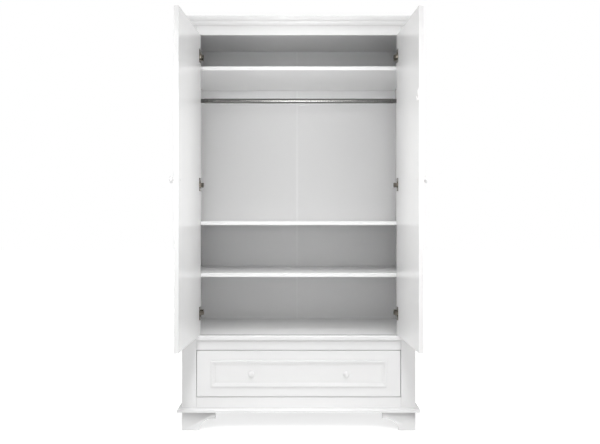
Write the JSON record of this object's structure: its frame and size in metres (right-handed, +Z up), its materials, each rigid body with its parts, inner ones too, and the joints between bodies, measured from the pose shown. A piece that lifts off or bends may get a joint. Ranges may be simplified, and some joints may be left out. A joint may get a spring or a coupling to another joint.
{
  "type": "wardrobe",
  "caption": "Free-standing white wardrobe with inset doors, cornice, shelves, a hanging rod, a wide drawer on roller runners and shaped bracket feet.",
  "frame": {"origin": "on the floor, at the centre of the box around the wardrobe as it stands with both doors open", "axes": "+X to the right of someone facing the doors, +Y from the front to the back, +Z up"},
  "size_m": [1.192, 1.0959, 2],
  "materials": {
    "white_lacquer": "smooth satin white lacquer over board",
    "white_board": "white foil-faced board, satin",
    "white_hardboard": "white faced hardboard, matt",
    "drawer_box_board": "white foil-faced board, matt",
    "white_plastic_strip": "white extruded strip",
    "chrome_tube": "polished chrome plate",
    "chrome_socket": "polished chrome plate",
    "nickel_pin": "nickel plate",
    "nickel_hinge": "nickel plate, stamped",
    "white_runner_steel": "white epoxy coat",
    "roller_plastic": "moulded nylon",
    "zinc_screw": "zinc plate",
    "knob_lacquer": "smooth satin white lacquer, turned"
  },
  "bodies": {
    "cabinet": {"side_panel_left": "white_lacquer", "side_panel_right": "white_lacquer", "stile_left": "white_lacquer", "stile_right": "white_lacquer", "top_rail": "white_lacquer", "drawer_rail": "white_lacquer", "bottom_rail": "white_lacquer", "top_panel": "white_board", "floor_panel": "white_board", "base_panel": "white_board", "top_board": "white_lacquer", "cornice_front": "white_lacquer", "cornice_left": "white_lacquer", "cornice_right": "white_lacquer", "waist_moulding_front": "white_lacquer", "waist_moulding_left": "white_lacquer", "waist_moulding_right": "white_lacquer", "base_moulding_front": "white_lacquer", "base_moulding_left": "white_lacquer", "base_moulding_right": "white_lacquer", "foot_front_left": "white_lacquer", "foot_front_right": "white_lacquer", "foot_side_left": "white_lacquer", "foot_side_right": "white_lacquer", "back_panel_left": "white_hardboard", "back_panel_right": "white_hardboard", "back_joint_strip": "white_plastic_strip", "hat_shelf": "white_board", "middle_shelf": "white_board", "lower_shelf": "white_board", "shelf_pins": "nickel_pin", "hanging_rod": "chrome_tube", "rod_sockets": "chrome_socket", "hinge_housings_left": "nickel_hinge", "hinge_housings_right": "nickel_hinge", "runner_battens": "drawer_box_board", "cabinet_runners": "white_runner_steel"},
    "left_door": {"door_left": "white_lacquer", "door_moulding_left": "white_lacquer", "door_knob_left": "knob_lacquer", "door_knob_screw_left": "zinc_screw", "hinge_cups_left": "nickel_hinge", "hinge_links_left": "nickel_hinge"},
    "right_door": {"door_right": "white_lacquer", "door_moulding_right": "white_lacquer", "door_knob_right": "knob_lacquer", "door_knob_screw_right": "zinc_screw", "hinge_cups_right": "nickel_hinge", "hinge_links_right": "nickel_hinge"},
    "drawer": {"drawer_front": "white_lacquer", "drawer_moulding": "white_lacquer", "drawer_knobs": "knob_lacquer", "drawer_knob_screws": "zinc_screw", "drawer_side_left": "drawer_box_board", "drawer_side_right": "drawer_box_board", "drawer_back": "drawer_box_board", "drawer_bottom": "white_hardboard", "drawer_runners": "white_runner_steel"},
    "front_rollers": {"front_rollers": "roller_plastic"},
    "rear_rollers": {"rear_rollers": "roller_plastic"}
  },
  "joints": [
    {"name": "left_door_hinge", "type": "hinge", "parent": "cabinet", "child": "left_door", "pos_m": [-0.495, -0.05401, 1.1885], "axis": [0, 0, 1], "range_deg": [-12, 93]},
    {"name": "right_door_hinge", "type": "hinge", "parent": "cabinet", "child": "right_door", "pos_m": [0.495, -0.05401, 1.1885], "axis": [0, 0, -1], "range_deg": [-12, 93]},
    {"name": "drawer_slide", "type": "slide", "parent": "cabinet", "child": "drawer", "axis": [0, -1, 0], "range_m": [0, 0.4]},
    {"name": "front_roller_spin", "type": "hinge", "parent": "cabinet", "child": "front_rollers", "pos_m": [0.48, -0.01601, 0.187], "axis": [1, 0, 0], "range_deg": [-10, 2700]},
    {"name": "rear_roller_spin", "type": "hinge", "parent": "drawer", "child": "rear_rollers", "pos_m": [0.48, 0.43199, 0.1789], "axis": [1, 0, 0], "range_deg": [-10, 2700]}
  ],
  "couplings": [
    {"joint": "front_roller_spin", "follows": "drawer_slide", "rad_per_m": 117.65},
    {"joint": "rear_roller_spin", "follows": "drawer_slide", "rad_per_m": 117.65}
  ]
}
